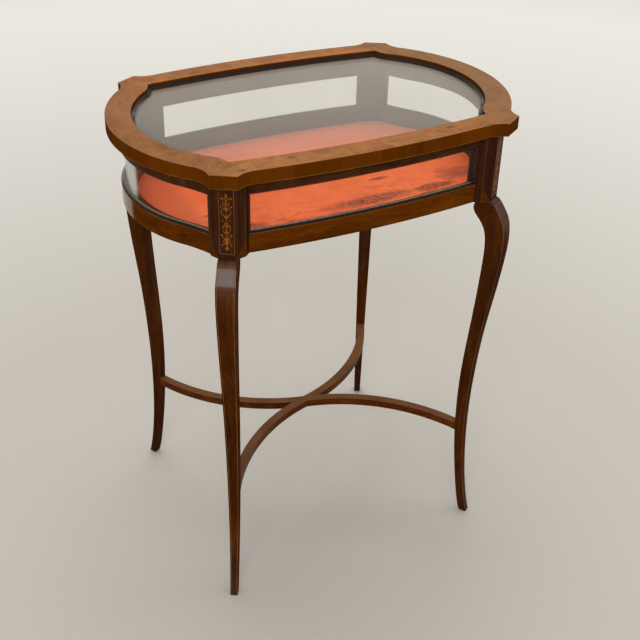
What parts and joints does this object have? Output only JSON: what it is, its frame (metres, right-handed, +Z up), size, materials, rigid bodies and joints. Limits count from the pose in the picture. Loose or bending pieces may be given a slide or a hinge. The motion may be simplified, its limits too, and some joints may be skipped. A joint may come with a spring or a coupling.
{
  "type": "glazed display table",
  "caption": "Glazed display table with bowed sides, canted corners, a hinged glazed lid, velvet-lined case and cabriole legs joined by a curved cross stretcher.",
  "frame": {"origin": "on the floor, under the middle of the table", "axes": "+X along the long side to the right, +Y from the lock side to the hinge side, +Z up"},
  "size_m": [0.6118, 0.423, 0.74],
  "materials": {
    "mahogany": "french polished dark mahogany, satin gloss",
    "lid_banding": "polished honey brown banding",
    "marquetry": "polished veneer with pale inlay",
    "ebonised": "ebonised, satin",
    "floor_wood": "unpolished",
    "glass": "clear polished",
    "brass": "aged satin",
    "screw_steel": "dull",
    "velvet": "worn orange velvet"
  },
  "bodies": {
    "case": {"case_back_beads": "ebonised", "case_back_bottom_rail": "mahogany", "case_back_glass": "glass", "case_back_top_rail": "mahogany", "case_front_beads": "ebonised", "case_front_bottom_rail": "mahogany", "case_front_glass": "glass", "case_front_top_rail": "mahogany", "case_left_beads": "ebonised", "case_left_bottom_rail": "mahogany", "case_left_glass": "glass", "case_left_top_rail": "mahogany", "case_right_beads": "ebonised", "case_right_bottom_rail": "mahogany", "case_right_glass": "glass", "case_right_top_rail": "mahogany", "floor_board": "floor_wood", "floor_screws": "screw_steel", "hinge_case_screws": "brass", "hinge_left_case_leaf": "brass", "hinge_left_pin": "brass", "hinge_right_case_leaf": "brass", "hinge_right_pin": "brass", "leg_back_left": "mahogany", "leg_back_right": "mahogany", "leg_front_left": "mahogany", "leg_front_right": "mahogany", "lock_case": "brass", "lock_screws": "screw_steel", "panel_back_left": "marquetry", "panel_back_right": "marquetry", "panel_front_left": "marquetry", "panel_front_right": "marquetry", "post_back_left": "mahogany", "post_back_right": "mahogany", "post_front_left": "mahogany", "post_front_right": "mahogany", "stretcher_front_left_back_right": "mahogany", "stretcher_front_right_back_left": "mahogany", "velvet_lining": "velvet"},
    "lid": {"hinge_left_lid_leaf": "brass", "hinge_lid_screws": "brass", "hinge_right_lid_leaf": "brass", "lid_back_bead": "ebonised", "lid_back_rail": "lid_banding", "lid_front_bead": "ebonised", "lid_front_rail": "lid_banding", "lid_glass": "glass", "lid_left_bead": "ebonised", "lid_left_rail": "lid_banding", "lid_right_bead": "ebonised", "lid_right_rail": "lid_banding", "striker_plate": "brass", "striker_screws": "screw_steel"},
    "bolt": {"lock_bolt": "screw_steel"}
  },
  "joints": [
    {"name": "lid_hinge", "type": "hinge", "parent": "case", "child": "lid", "pos_m": [0, 0.18881, 0.72065], "axis": [-1, 0, 0], "range_deg": [0, 92]},
    {"name": "bolt_slide", "type": "slide", "parent": "case", "child": "bolt", "axis": [1, 0, 0], "range_m": [0, 0.0046]}
  ]
}
